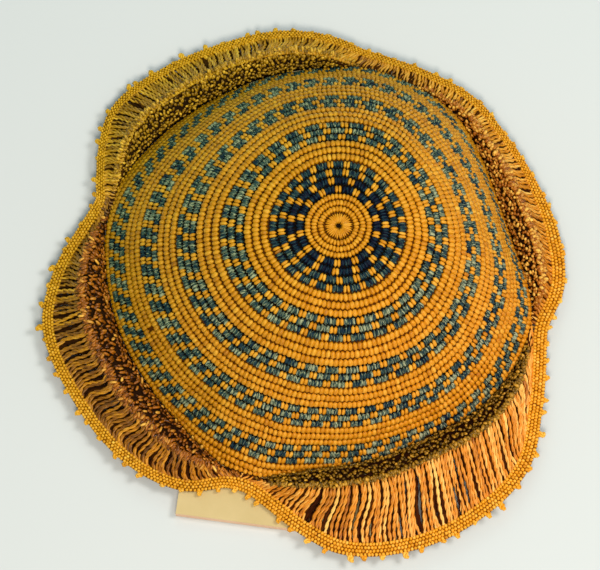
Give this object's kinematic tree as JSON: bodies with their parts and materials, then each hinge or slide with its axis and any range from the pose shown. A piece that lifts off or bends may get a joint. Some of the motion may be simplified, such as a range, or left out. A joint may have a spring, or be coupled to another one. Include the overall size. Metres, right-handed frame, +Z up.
{
  "type": "raffia prestige cap on a display board",
  "caption": "Domed raffia cap with a checked crown and a lobed brim of looped pile, plied cords, woven rim band and picots, lying on a thin board.",
  "frame": {"origin": "on the ground, at the middle of the whole footprint, under the board", "axes": "+Z up through the crown, +Y away from the side that the picture is taken from, +X to its right"},
  "size_m": [0.2338, 0.2468, 0.0723],
  "materials": {
    "raffia_gold": "golden raffia worked in rows of upright knots, dry satin sheen along the fibre",
    "raffia_blue": "dyed blue and grey-green raffia floats with pale fibre streaks",
    "raffia_pile": "short looped raffia pile, dark between the loops",
    "raffia_cord": "plied raffia cords, dry satin",
    "raffia_band": "woven golden raffia band with ribs",
    "pale_board": "matt pale cream board"
  },
  "bodies": {
    "root": {"crown": "raffia_gold", "pile_right": "raffia_pile", "pile_far": "raffia_pile", "pile_left": "raffia_pile", "pile_front": "raffia_pile", "ruffle_right": "raffia_cord", "ruffle_far": "raffia_cord", "ruffle_left": "raffia_cord", "ruffle_front": "raffia_cord", "rim_band": "raffia_band", "picot_edge": "raffia_band", "display_board": "pale_board"}
  },
  "joints": []
}
